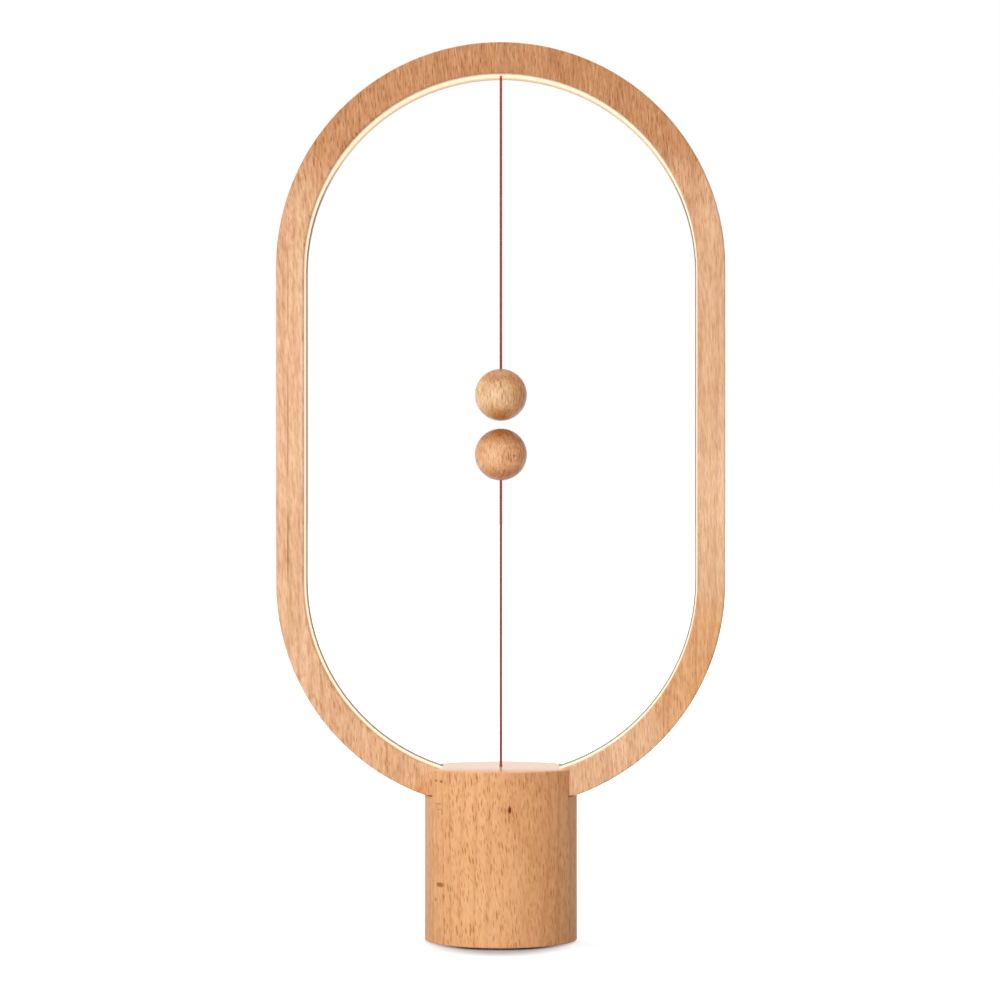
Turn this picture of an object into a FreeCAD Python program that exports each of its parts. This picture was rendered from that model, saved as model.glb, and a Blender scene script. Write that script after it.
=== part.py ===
import FreeCAD, Part
import math
import os

# A magnetic balance lamp: a wooden ring with a lit inner face stands in a round wooden base.
# One wooden ball hangs from the ring's top, and a second one is held under it by a magnet,
# on a cord that pulls a sprung shuttle and its switch inside the base.
# Origin: middle of the resting face. +X right, +Y to the back, +Z up. All lengths in mm.

V = FreeCAD.Vector

# Ring
ring_half_width = 99.5
ring_straight = 140.5
ring_depth = 30.0
ring_side_wall = 12.2
ring_top_wall = 13.7
ring_bottom_wall = 13.2
ring_edge_round = 0.8
foot_cut = 5.85
foot_gap = 0.1

# Lit channel in the ring's inner face
groove_width = 10.4
groove_depth = 5.0
diffuser_width = 14.0
diffuser_seat = 2.0
diffuser_recess = 0.2
strip_width = 8.0
strip_thickness = 0.3
chip_pitch = 16.6
chip_length = 2.8
chip_width = 3.5
chip_height = 0.8
chip_seat_gap = 0.02

# Base
base_radius = 34.0
base_height = 78.0
base_stand = 0.8
base_wall = 6.0
base_top_round = 1.0
base_bottom_round = 0.7
deck_thickness = 6.35
saddle_thickness = 4.3
saddle_end_margin = 1.0
saddle_lip = 0.8
ear_radius = 4.0
ear_inset = 1.5
ear_angles = (30.0, 150.0, 270.0)

# Bottom plate, pad and weight
pad_thickness = 1.2
pad_margin = 1.2
plate_thickness = 3.0
plate_lap = 2.5
ballast_thickness = 13.0
ballast_gap = 1.5

# Balls, magnets and cords
ball_radius = 11.6
ball_face_wall = 1.6
magnet_radius = 4.0
magnet_thickness = 5.0
knot_room = 3.6
knot_radius = 1.5
cord_radius = 0.6
cord_hole_radius = 1.0
upper_cord_length = 130.6
ball_gap = 3.44
pivot_drop = 0.7
pivot_gap = 0.02
ferrule_radius = 2.0
ferrule_length = 2.5
ferrule_bore_radius = 0.7

# Cord bush, shuttle, guide and spring
bush_radius = 2.2
bush_bore_radius = 1.3
shuttle_radius = 3.5
shuttle_height = 6.0
shuttle_foot_thickness = 2.0
shuttle_arm_length = 12.0
shuttle_arm_width = 4.0
shuttle_travel = 2.0
guide_wall = 2.0
guide_length = 13.9
flange_thickness = 2.0
flange_left = 24.5
flange_right = 14.0
flange_half_depth = 8.0
spring_room = 8.0
spring_radius = 2.3
spring_wire_radius = 0.22
spring_turns = 5

# Switch
switch_length = 12.8
switch_depth = 6.0
switch_height = 6.5
switch_gap = 0.6
plunger_radius = 0.9
plunger_reach = 2.5
plunger_keep = 1.0
plunger_offset = 9.0
bracket_thickness = 1.5
terminal_length = 3.0
terminal_width = 2.0
terminal_thickness = 0.4
terminal_offsets = (-4.6, 0.0, 4.6)

# Board and what is on it
spacer_height = 8.0
spacer_radius = 2.5
spacer_places = ((-12.0, -9.0), (12.0, -9.0), (0.0, 13.0))
board_thickness = 1.6
board_half_width = 17.0
board_front = 15.0
board_back = 21.0
board_tongue_half = 6.0
board_wall_gap = 0.8
usb_width = 8.94
usb_height = 3.16
usb_length = 7.3
usb_shell = 0.3
usb_tongue_width = 6.7
usb_tongue_thickness = 0.7
usb_set_back = 4.5
recess_width = 12.0
recess_height = 7.5
recess_round = 2.0
bezel_thickness = 1.5
plug_length = 6.0
plug_depth = 5.8
plug_height = 6.0
plug_wall = 0.8
led_plug_place = (10.5, -1.0)
switch_plug_place = (-13.8, -1.0)
chip_body = (5.0, 4.0, 1.5)
coil_body = (6.0, 6.0, 3.0)
coil_place = (0.0, -10.5)
capacitor_radius = 3.1
capacitor_height = 5.4
capacitor_place = (9.5, 9.0)

# Wires
wire_radius = 0.6
wire_spacing = 1.5
wire_hole_radius = 2.0
wire_wall_gap = 4.0

# Screws: shaft radius, head radius, head height, length of the shaft
ring_screw = (1.5, 2.5, 2.0, 11.0)
guide_screw = (1.0, 1.8, 1.4, 6.0)
switch_screw = (0.9, 1.6, 1.2, 7.0)
board_screw = (1.2, 2.2, 1.6, 15.0)
plate_screw = (1.5, 2.8, 1.6, 12.0)
ballast_screw = (1.5, 2.8, 1.6, 9.0)
ring_screw_across = 8.0
ring_screw_edge = 3.5
guide_screw_places = ((10.5, 5.0), (10.5, -5.0), (-21.8, 0.0))
switch_screw_offsets = (-4.0, 3.2)
ballast_screw_places = ((9.0, 8.0), (-9.0, 8.0))
driver_radius = 0.9
driver_depth = 0.8

# Clearances
glue_gap = 0.05
screw_gap = 0.05
sliding_gap = 0.05
cover = 1.0

# Sizes that follow from the ones above
inner_radius = ring_half_width - ring_side_wall
inner_bottom_z = base_height - saddle_thickness
outer_bottom_z = inner_bottom_z - ring_bottom_wall
outer_low_z = outer_bottom_z + ring_half_width
outer_high_z = outer_low_z + ring_straight
ring_top_z = outer_high_z + ring_half_width
inner_top_z = ring_top_z - ring_top_wall
inner_low_z = inner_bottom_z + inner_radius
inner_high_z = inner_top_z - inner_radius
foot_z = outer_bottom_z + foot_cut
slot_floor_z = foot_z - foot_gap
cavity_top_z = foot_z - deck_thickness
cavity_radius = base_radius - base_wall
ear_ring_radius = cavity_radius - ear_inset
plate_low_z = pad_thickness
plate_high_z = plate_low_z + plate_thickness
plate_radius = cavity_radius + plate_lap
pad_radius = plate_radius - pad_margin
ballast_radius = ear_ring_radius - ear_radius - ballast_gap
ballast_top_z = plate_high_z + ballast_thickness
board_low_z = ballast_top_z + spacer_height
board_top_z = board_low_z + board_thickness
usb_middle_z = board_top_z + usb_height / 2
usb_mouth_y = base_radius - usb_set_back
wire_place_x = cavity_radius - wire_wall_gap
groove_end_x = wire_place_x - wire_hole_radius
saddle_half_length = math.sqrt(inner_radius ** 2 - (inner_low_z - base_height) ** 2) - saddle_end_margin
groove_floor_top_z = inner_top_z + groove_depth
pivot_z = inner_top_z - pivot_drop
upper_ball_z = inner_top_z - upper_cord_length - ball_radius
lower_ball_z = upper_ball_z - 2 * ball_radius - ball_gap
pocket_radius = magnet_radius + glue_gap
flange_low_z = cavity_top_z - flange_thickness
guide_low_z = flange_low_z - guide_length
guide_radius = shuttle_radius + sliding_gap + guide_wall
shuttle_top_z = flange_low_z - spring_room
shuttle_seat_z = shuttle_top_z - shuttle_height
shuttle_low_z = shuttle_seat_z - shuttle_foot_thickness
switch_low_z = shuttle_seat_z + plunger_reach
switch_top_z = switch_low_z + switch_height
plunger_inside = shuttle_travel + plunger_keep
switch_right_x = -guide_radius - switch_gap
switch_middle_x = switch_right_x - switch_length / 2
ring_screw_y = ring_depth / 2 - ring_screw_edge
plug_floor_z = board_top_z + plug_wall
wire_turn_z = (board_top_z + plug_height + shuttle_low_z) / 2


# Plain shapes
def rod(radius, low, high, x=0.0, y=0.0):
    return Part.makeCylinder(radius, high - low, V(x, y, low))


def block(x_low, x_high, y_low, y_high, z_low, z_high):
    return Part.makeBox(x_high - x_low, y_high - y_low, z_high - z_low, V(x_low, y_low, z_low))


def stadium(radius, low_centre_z, high_centre_z, width):
    """A solid long ring blank, round at both ends, centred on Y."""
    y = -width / 2
    corners = [V(radius, y, low_centre_z), V(radius, y, high_centre_z)]
    corners += [V(-radius, y, high_centre_z), V(-radius, y, low_centre_z)]
    top = V(0, y, high_centre_z + radius)
    bottom = V(0, y, low_centre_z - radius)
    edges = [
        Part.makeLine(corners[0], corners[1]),
        Part.Arc(corners[1], top, corners[2]).toShape(),
        Part.makeLine(corners[2], corners[3]),
        Part.Arc(corners[3], bottom, corners[0]).toShape(),
    ]
    return Part.Face(Part.Wire(edges)).extrude(V(0, width, 0))


def inner_stadium(offset, width):
    return stadium(inner_radius + offset, inner_low_z, inner_high_z, width)


def ring_surface_z(x, offset):
    """Height of the ring's inner face, or of a level at an offset below it, near the base."""
    return inner_low_z - math.sqrt((inner_radius + offset) ** 2 - x ** 2)


def keep_out(half_length):
    """The part of the ring over the base that the lit channel leaves whole."""
    return block(-half_length, half_length, -ring_depth, ring_depth, 0, base_height + cover)


def edges_at(shape, test):
    return [edge for edge in shape.Edges if all(test(vertex.Point) for vertex in edge.Vertexes)]


def slab(middle_x, middle_y, low_z, size):
    length, depth, height = size
    x_low = middle_x - length / 2
    y_low = middle_y - depth / 2
    return block(x_low, x_low + length, y_low, y_low + depth, low_z, low_z + height)


# Screws
def pan_screw(spec):
    """A round headed screw whose shaft runs up from the origin."""
    shaft, head, height, length = spec
    body = rod(head, -height, 0).fuse(rod(shaft, 0, length))
    return body.cut(rod(driver_radius, -height, -height + driver_depth))


def flat_screw(spec):
    """A countersunk screw whose head starts at the origin and whose shaft runs up."""
    shaft, head, height, length = spec
    cone = Part.makeCone(head, shaft, height)
    return cone.fuse(rod(shaft, height, length)).cut(rod(driver_radius, 0, driver_depth))


def flat_screw_hole(spec, top):
    shaft, head, height, _ = spec
    cone = Part.makeCone(head + screw_gap, shaft + screw_gap, height)
    return cone.fuse(rod(shaft + screw_gap, 0, top))


def moved(shape, x, y, z):
    copy = shape.copy()
    copy.translate(V(x, y, z))
    return copy


def turned(shape, axis, degrees):
    copy = shape.copy()
    copy.rotate(V(0, 0, 0), axis, degrees)
    return copy


def polar(radius, degrees):
    angle = math.radians(degrees)
    return radius * math.cos(angle), radius * math.sin(angle)


# Cords, wires and the spring
def rounded_path(points):
    """Straight runs joined by tangent arcs, each as large as its two runs allow."""
    edges = []
    radii = []
    start = points[0]
    for before, corner, after in zip(points, points[1:], points[2:]):
        back = (before - corner).normalize()
        ahead = (after - corner).normalize()
        half_turn = (math.pi - back.getAngle(ahead)) / 2
        reach = 0.45 * min(before.distanceToPoint(corner), after.distanceToPoint(corner))
        radius = reach / math.tan(half_turn)
        first = corner + back * reach
        last = corner + ahead * reach
        inward = (back + ahead).normalize()
        middle = corner + inward * (radius / math.cos(half_turn) - radius)
        edges += [Part.makeLine(start, first), Part.Arc(first, middle, last).toShape()]
        radii.append(round(radius, 2))
        start = last
    edges.append(Part.makeLine(start, points[-1]))
    return Part.Wire(edges), radii


def tube_along(path, radius, start, direction):
    profile = Part.Wire(Part.makeCircle(radius, start, direction))
    return path.makePipeShell([profile], True, False)


def wire(name, points):
    path, radii = rounded_path(points)
    tube = tube_along(path, wire_radius, points[0], points[1] - points[0])
    expected = math.pi * wire_radius ** 2 * path.Length
    print(name, "radii", radii, "volume over section times length", round(tube.Volume / expected, 4))
    return tube


def tangent_arc(start, tangent, end):
    """The arc that leaves start along tangent and reaches end."""
    chord = end - start
    half = tangent.getAngle(chord)
    corner = start + tangent * (chord.Length / 2 / math.cos(half))
    weight = math.cos(half)
    middle = (start + corner * (2 * weight) + end) * (1 / (2 + 2 * weight))
    return Part.Arc(start, middle, end).toShape()


def half_turn_of_coil(start, start_tangent, end, end_tangent):
    """Two arcs that join smoothly and follow a coil for half a turn."""
    chord = end - start
    both = start_tangent + end_tangent
    spread = 2 * (1 - start_tangent.dot(end_tangent))
    along = chord.dot(both)
    reach = (math.sqrt(along ** 2 + spread * chord.dot(chord)) - along) / spread
    joint = (start + start_tangent * reach + end - end_tangent * reach) * 0.5
    first = tangent_arc(start, start_tangent, joint)
    second = tangent_arc(end, end_tangent * -1, joint)
    return [first, second]


def coil(radius, wire_size, turns, low, high):
    pitch = (high - low) / turns
    slope = pitch / (2 * math.pi)
    points = []
    tangents = []
    for step in range(2 * turns + 1):
        angle = math.pi * step
        points.append(V(radius * math.cos(angle), radius * math.sin(angle), low + slope * angle))
        tangents.append(V(-radius * math.sin(angle), radius * math.cos(angle), slope).normalize())
    edges = []
    for step in range(2 * turns):
        edges += half_turn_of_coil(points[step], tangents[step], points[step + 1], tangents[step + 1])
    path = Part.Wire(Part.__sortEdges__(edges))
    return tube_along(path, wire_size, points[0], tangents[0])


# Ring and its light
def ring_frame():
    blank = stadium(ring_half_width, outer_low_z, outer_high_z, ring_depth)
    blank = blank.cut(inner_stadium(0, ring_depth + 2 * cover))
    rims = edges_at(blank, lambda point: abs(abs(point.y) - ring_depth / 2) < glue_gap)
    blank = blank.makeFillet(ring_edge_round, rims)
    blank = blank.cut(block(-ring_half_width, ring_half_width, -ring_depth, ring_depth, 0, foot_z))
    ends = keep_out(groove_end_x)
    blank = blank.cut(inner_stadium(diffuser_seat, diffuser_width).cut(ends))
    blank = blank.cut(inner_stadium(groove_depth, groove_width).cut(ends))
    hole_top = groove_floor_top_z + ferrule_length + 2 * knot_radius + glue_gap
    blank = blank.cut(rod(ferrule_radius + glue_gap, inner_top_z, hole_top))
    blank = blank.cut(rod(bush_radius + glue_gap, outer_bottom_z, inner_bottom_z + cover))
    blank = blank.cut(rod(wire_hole_radius, outer_bottom_z, base_height, wire_place_x))
    shaft = ring_screw[0] + screw_gap
    for x, y in ring_screw_places():
        blank = blank.cut(rod(shaft, outer_bottom_z, cavity_top_z + ring_screw[3] + screw_gap, x, y))
    return blank


def ring_screw_places():
    return [(x, y) for x in (-ring_screw_across, ring_screw_across) for y in (-ring_screw_y, ring_screw_y)]


def ring_diffuser():
    skin = inner_stadium(diffuser_seat - glue_gap, diffuser_width - 2 * glue_gap)
    skin = skin.cut(inner_stadium(diffuser_recess, diffuser_width + cover))
    skin = skin.cut(keep_out(groove_end_x + glue_gap))
    return skin.cut(rod(cord_hole_radius, inner_top_z - cover, groove_floor_top_z))


def led_strip():
    tape = inner_stadium(groove_depth - glue_gap, strip_width)
    tape = tape.cut(inner_stadium(groove_depth - glue_gap - strip_thickness, strip_width + cover))
    tape = tape.cut(keep_out(wire_place_x + wire_radius + glue_gap))
    return tape.cut(rod(cord_hole_radius, inner_top_z, groove_floor_top_z + cover))


def chip_station(distance, radius):
    """Place and inward angle on the strip, at a distance from its top, on the right side."""
    quarter = radius * math.pi / 2
    straight = inner_high_z - inner_low_z
    if distance < quarter:
        angle = math.pi / 2 - distance / radius
        return radius * math.cos(angle), inner_high_z + radius * math.sin(angle), angle
    if distance < quarter + straight:
        return radius, inner_high_z - (distance - quarter), 0.0
    angle = -(distance - quarter - straight) / radius
    return radius * math.cos(angle), inner_low_z + radius * math.sin(angle), angle


def led_chips():
    radius = inner_radius + groove_depth - glue_gap - strip_thickness - chip_seat_gap
    quarter = radius * math.pi / 2
    low_arc = radius * math.acos((wire_place_x + wire_radius + chip_length) / radius)
    chips_per_side = int((quarter + inner_high_z - inner_low_z + low_arc) / chip_pitch)
    size = (chip_height, chip_width, chip_length)
    chip = slab(-chip_height / 2, 0, -chip_length / 2, size)
    chips = []
    for number in range(chips_per_side):
        x, z, angle = chip_station((number + 0.5) * chip_pitch, radius)
        placed = moved(turned(chip, V(0, 1, 0), -math.degrees(angle)), x, 0, z)
        chips += [placed, placed.mirror(V(0, 0, 0), V(1, 0, 0))]
    return Part.makeCompound(chips)


# Upper cord and its fixing
def cord_ferrule():
    body = rod(ferrule_radius, groove_floor_top_z, groove_floor_top_z + ferrule_length)
    return body.cut(rod(ferrule_bore_radius, groove_floor_top_z, ring_top_z))


def knot_above(seat_z, hole_radius):
    """A knot that rests in the mouth of a hole and can't pass it."""
    rise = math.sqrt(knot_radius ** 2 - hole_radius ** 2)
    return Part.makeSphere(knot_radius, V(0, 0, seat_z + rise + pivot_gap)), seat_z + rise


def upper_cord_tail():
    knot, knot_z = knot_above(groove_floor_top_z + ferrule_length, ferrule_bore_radius)
    return rod(cord_radius, pivot_z + cord_radius + pivot_gap, knot_z).fuse(knot)


def upper_cord_bend():
    return Part.makeSphere(cord_radius, V(0, 0, pivot_z))


def upper_cord():
    return rod(cord_radius, upper_ball_z + ball_radius, pivot_z - cord_radius - pivot_gap)


# Balls, built about their own middle with the cord leaving at the top
def ball_levels():
    magnet_low = ball_face_wall - ball_radius
    magnet_high = magnet_low + magnet_thickness
    plug_low = magnet_high + knot_room
    return magnet_low, magnet_high, plug_low


def ball_shell():
    magnet_low, _, _ = ball_levels()
    return Part.makeSphere(ball_radius).cut(rod(pocket_radius, magnet_low, ball_radius + cover))


def ball_magnet():
    magnet_low, magnet_high, _ = ball_levels()
    return rod(magnet_radius, magnet_low, magnet_high)


def ball_plug():
    _, _, plug_low = ball_levels()
    body = rod(magnet_radius, plug_low, ball_radius + cover).common(Part.makeSphere(ball_radius))
    return body.cut(rod(ferrule_bore_radius, plug_low - cover, ball_radius + cover))


def ball_knot():
    _, _, plug_low = ball_levels()
    rise = math.sqrt(knot_radius ** 2 - ferrule_bore_radius ** 2)
    knot = Part.makeSphere(knot_radius, V(0, 0, plug_low - rise - pivot_gap))
    return rod(cord_radius, plug_low - rise, ball_radius).fuse(knot)


def upper(shape):
    return moved(shape, 0, 0, upper_ball_z)


def lower(shape):
    return moved(turned(shape, V(1, 0, 0), 180), 0, 0, lower_ball_z)


def lower_cord():
    return rod(cord_radius, base_height, lower_ball_z - ball_radius)


# Base
def ears(low, high, growth):
    shapes = []
    for degrees in ear_angles:
        x, y = polar(ear_ring_radius, degrees)
        shapes.append(rod(ear_radius + growth, low, high, x, y))
    return shapes


def recess(growth, y_low, y_high):
    size_x = recess_width / 2 + growth
    size_z = recess_height / 2 + growth
    shape = block(-size_x, size_x, y_low, y_high, usb_middle_z - size_z, usb_middle_z + size_z)
    long_edges = [edge for edge in shape.Edges if abs(edge.tangentAt(edge.FirstParameter).y) > 0.9]
    return shape.makeFillet(recess_round, long_edges)


def base_body():
    body = rod(base_radius, base_stand, base_height)
    top = edges_at(body, lambda point: abs(point.z - base_height) < glue_gap)
    body = body.makeFillet(base_top_round, top)
    bottom = edges_at(body, lambda point: abs(point.z - base_stand) < glue_gap)
    body = body.makeFillet(base_bottom_round, bottom)
    cavity = rod(cavity_radius, 0, cavity_top_z)
    for ear in ears(plate_high_z, cavity_top_z, 0):
        cavity = cavity.cut(ear)
    body = body.cut(cavity)
    body = body.cut(rod(plate_radius + glue_gap, 0, plate_high_z))
    slot = ring_depth / 2 + glue_gap
    body = body.cut(block(-base_radius, base_radius, -slot, slot, slot_floor_z, base_height + cover))
    body = body.cut(rod(bush_radius + glue_gap, cavity_top_z - cover, slot_floor_z + cover))
    body = body.cut(rod(wire_hole_radius, cavity_top_z - cover, slot_floor_z + cover, wire_place_x))
    for x, y in ring_screw_places():
        body = body.cut(rod(ring_screw[0] + screw_gap, cavity_top_z - cover, slot_floor_z + cover, x, y))
    for x, y in guide_screw_places:
        depth = guide_screw[3] - flange_thickness + screw_gap
        body = body.cut(rod(guide_screw[0] + screw_gap, cavity_top_z, cavity_top_z + depth, x, y))
    for degrees in ear_angles:
        x, y = polar(ear_ring_radius, degrees)
        top_z = plate_low_z + plate_screw[3] + screw_gap
        body = body.cut(rod(plate_screw[0] + screw_gap, plate_high_z, top_z, x, y))
    return body.cut(recess(0, cavity_radius - cover - base_wall / 2, base_radius + cover))


def base_saddle():
    half = saddle_half_length
    side = ring_depth / 2 - glue_gap
    blank = block(-half, half, -side, side, outer_bottom_z, base_height)
    blank = blank.common(inner_stadium(-glue_gap, ring_depth + cover))
    blank = blank.cut(rod(bush_radius + glue_gap, outer_bottom_z, base_height - saddle_lip))
    return blank.cut(rod(cord_hole_radius, outer_bottom_z, base_height + cover))


def cord_bush():
    body = rod(bush_radius, cavity_top_z, base_height - saddle_lip - glue_gap)
    return body.cut(rod(bush_bore_radius, cavity_top_z - cover, base_height + cover))


# Shuttle, its guide and the spring
def shuttle_guide():
    flange = block(-flange_left, flange_right, -flange_half_depth, flange_half_depth, flange_low_z, cavity_top_z)
    flange = flange.common(rod(cavity_radius - board_wall_gap, flange_low_z, cavity_top_z))
    body = flange.fuse(rod(guide_radius, guide_low_z, flange_low_z))
    wall_y = switch_depth / 2 + glue_gap
    wall_left = switch_right_x - switch_length
    wall = block(wall_left, switch_right_x, wall_y, wall_y + bracket_thickness, switch_low_z, flange_low_z)
    body = body.fuse(wall).removeSplitter()
    body = body.cut(rod(shuttle_radius + sliding_gap, guide_low_z - cover, flange_low_z))
    body = body.cut(rod(bush_bore_radius, guide_low_z, cavity_top_z + cover))
    for x, y in guide_screw_places:
        body = body.cut(rod(guide_screw[0] + screw_gap, flange_low_z - cover, cavity_top_z + cover, x, y))
    for shape in switch_screw_holes():
        body = body.cut(shape)
    return body


def cord_shuttle():
    body = rod(shuttle_radius, shuttle_seat_z, shuttle_top_z)
    body = body.fuse(rod(guide_radius, shuttle_low_z, shuttle_seat_z))
    half = shuttle_arm_width / 2
    body = body.fuse(block(-shuttle_arm_length, 0, -half, half, shuttle_low_z, shuttle_seat_z))
    body = body.removeSplitter()
    return body.cut(rod(ferrule_bore_radius, shuttle_low_z - cover, shuttle_top_z + cover))


def lower_cord_tail():
    rise = math.sqrt(knot_radius ** 2 - ferrule_bore_radius ** 2)
    knot = Part.makeSphere(knot_radius, V(0, 0, shuttle_low_z - rise - pivot_gap))
    return rod(cord_radius, shuttle_low_z - rise, base_height).fuse(knot)


def return_spring():
    low = shuttle_top_z + spring_wire_radius + pivot_gap
    high = flange_low_z - spring_wire_radius - pivot_gap
    return coil(spring_radius, spring_wire_radius, spring_turns, low, high)


# Switch
def switch_screw_holes():
    shaft = switch_screw[0] + screw_gap
    shapes = []
    for offset in switch_screw_offsets:
        hole = Part.makeCylinder(shaft, 3 * switch_depth, V(0, -switch_depth, 0), V(0, 1, 0))
        shapes.append(moved(hole, switch_middle_x + offset, 0, switch_top_z - switch_height / 4))
    return shapes


def switch_screws():
    screw = turned(pan_screw(switch_screw), V(1, 0, 0), -90)
    z = switch_top_z - switch_height / 4
    places = [switch_middle_x + offset for offset in switch_screw_offsets]
    return Part.makeCompound([moved(screw, x, -switch_depth / 2, z) for x in places])


def switch_body():
    size = (switch_length, switch_depth, switch_height)
    body = slab(switch_middle_x, 0, switch_low_z, size)
    for shape in switch_screw_holes():
        body = body.cut(shape)
    bore_top = shuttle_seat_z + plunger_reach + plunger_inside + glue_gap
    bore = rod(plunger_radius + sliding_gap, switch_low_z - cover, bore_top, -plunger_offset)
    return body.cut(bore)


def switch_plunger():
    return rod(plunger_radius, shuttle_seat_z, switch_low_z + plunger_inside, -plunger_offset)


def switch_terminals():
    size = (terminal_width, terminal_thickness, terminal_length)
    return Part.makeCompound([slab(switch_middle_x + x, 0, switch_top_z, size) for x in terminal_offsets])


# Weight, plate and pad
def bottom_plate():
    body = rod(plate_radius, plate_low_z, plate_high_z)
    for degrees in ear_angles:
        x, y = polar(ear_ring_radius, degrees)
        body = body.cut(moved(flat_screw_hole(plate_screw, plate_thickness + cover), x, y, plate_low_z))
    for x, y in ballast_screw_places:
        body = body.cut(moved(flat_screw_hole(ballast_screw, plate_thickness + cover), x, y, plate_low_z))
    return body


def foot_pad():
    return rod(pad_radius, 0, pad_thickness)


def ballast():
    body = rod(ballast_radius, plate_high_z, ballast_top_z)
    for x, y in ballast_screw_places:
        top_z = plate_low_z + ballast_screw[3] + screw_gap
        body = body.cut(rod(ballast_screw[0] + screw_gap, plate_high_z, top_z, x, y))
    for x, y in spacer_places:
        low_z = board_top_z - board_screw[3] - screw_gap
        body = body.cut(rod(board_screw[0] + screw_gap, low_z, ballast_top_z, x, y))
    return body


def screws_at(screw, places, z):
    return Part.makeCompound([moved(screw, x, y, z) for x, y in places])


# Board
def main_board():
    half = board_half_width
    board = block(-half, half, -board_front, board_back, board_low_z, board_top_z)
    tongue = block(-board_tongue_half, board_tongue_half, 0, base_radius, board_low_z, board_top_z)
    board = board.fuse(tongue).removeSplitter()
    board = board.common(rod(cavity_radius - board_wall_gap, board_low_z, board_top_z))
    for ear in ears(board_low_z - cover, board_top_z + cover, board_wall_gap):
        board = board.cut(ear)
    for x, y in spacer_places:
        board = board.cut(rod(board_screw[0] + screw_gap, board_low_z - cover, board_top_z + cover, x, y))
    return board


def board_spacers():
    bore = board_screw[0] + screw_gap
    spacers = []
    for x, y in spacer_places:
        spacer = rod(spacer_radius, ballast_top_z, board_low_z, x, y)
        spacers.append(spacer.cut(rod(bore, ballast_top_z - cover, board_low_z + cover, x, y)))
    return Part.makeCompound(spacers)


def board_screws():
    screw = turned(pan_screw(board_screw), V(1, 0, 0), 180)
    return screws_at(screw, spacer_places, board_top_z)


def usb_outline(shrink, y_low, y_high):
    """The rounded outline of the power inlet, along Y."""
    radius = usb_height / 2 - shrink
    half = usb_width / 2 - usb_height / 2
    length = y_high - y_low
    along = V(0, 1, 0)
    left = Part.makeCylinder(radius, length, V(-half, y_low, usb_middle_z), along)
    right = Part.makeCylinder(radius, length, V(half, y_low, usb_middle_z), along)
    middle = block(-half, half, y_low, y_high, usb_middle_z - radius, usb_middle_z + radius)
    return middle.fuse([left, right]).removeSplitter()


def usb_shell_part():
    outside = usb_outline(0, usb_mouth_y - usb_length, usb_mouth_y)
    return outside.cut(usb_outline(usb_shell, usb_mouth_y - usb_length + cover, usb_mouth_y + cover))


def usb_tongue():
    half = usb_tongue_width / 2
    thick = usb_tongue_thickness / 2
    low_y = usb_mouth_y - usb_length + cover
    return block(-half, half, low_y, usb_mouth_y - cover, usb_middle_z - thick, usb_middle_z + thick)


def usb_bezel():
    plate = recess(-glue_gap, usb_mouth_y - bezel_thickness, usb_mouth_y)
    return plate.cut(usb_outline(-glue_gap, 0, base_radius))


def plug_housing(place):
    x, y = place
    outside = slab(x, y, board_top_z, (plug_length, plug_depth, plug_height))
    inside = (plug_length - 2 * plug_wall, plug_depth - 2 * plug_wall, plug_height)
    return outside.cut(slab(x, y, plug_floor_z, inside))


def driver_chip():
    return slab(0, 0, board_top_z, chip_body)


def board_coil():
    x, y = coil_place
    return slab(x, y, board_top_z, coil_body)


def board_capacitor():
    x, y = capacitor_place
    can = rod(capacitor_radius, board_top_z, board_top_z + capacitor_height, x, y)
    top = edges_at(can, lambda point: abs(point.z - board_top_z - capacitor_height) < glue_gap)
    return can.makeFillet(recess_round / 4, top)


def led_wires():
    plug_x, plug_y = led_plug_place
    top_z = ring_surface_z(wire_place_x, groove_depth) - glue_gap
    wires = []
    for side in (-0.5, 0.5):
        shift = side * wire_spacing
        points = [
            V(wire_place_x, shift, top_z),
            V(wire_place_x, shift, cavity_top_z - flange_thickness),
            V((wire_place_x + plug_x) / 2, plug_y + shift, shuttle_low_z),
            V(plug_x, plug_y + shift, wire_turn_z),
            V(plug_x, plug_y + shift, plug_floor_z),
        ]
        wires.append(wire("led wire", points))
    return Part.makeCompound(wires)


def switch_wires():
    plug_x, plug_y = switch_plug_place
    solder_z = switch_top_z + terminal_length - wire_radius
    front_y = -switch_depth
    wires = []
    for x_offset, side in ((terminal_offsets[0], -0.5), (terminal_offsets[1], 0.5)):
        start_x = switch_middle_x + x_offset
        points = [
            V(start_x, -terminal_thickness / 2, solder_z),
            V(start_x, front_y - cover, solder_z),
            V(start_x - cover, front_y - 2 * cover, shuttle_seat_z),
            V(plug_x + side * wire_spacing, plug_y, wire_turn_z),
            V(plug_x + side * wire_spacing, plug_y, plug_floor_z),
        ]
        wires.append(wire("switch wire", points))
    return Part.makeCompound(wires)


def save(name, shape):
    shape.exportStep(os.path.join("parts", name + ".step"))
    print(name, "solids", len(shape.Solids), "valid", shape.isValid(), "volume", round(shape.Volume, 2))


os.makedirs("parts", exist_ok=True)

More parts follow.
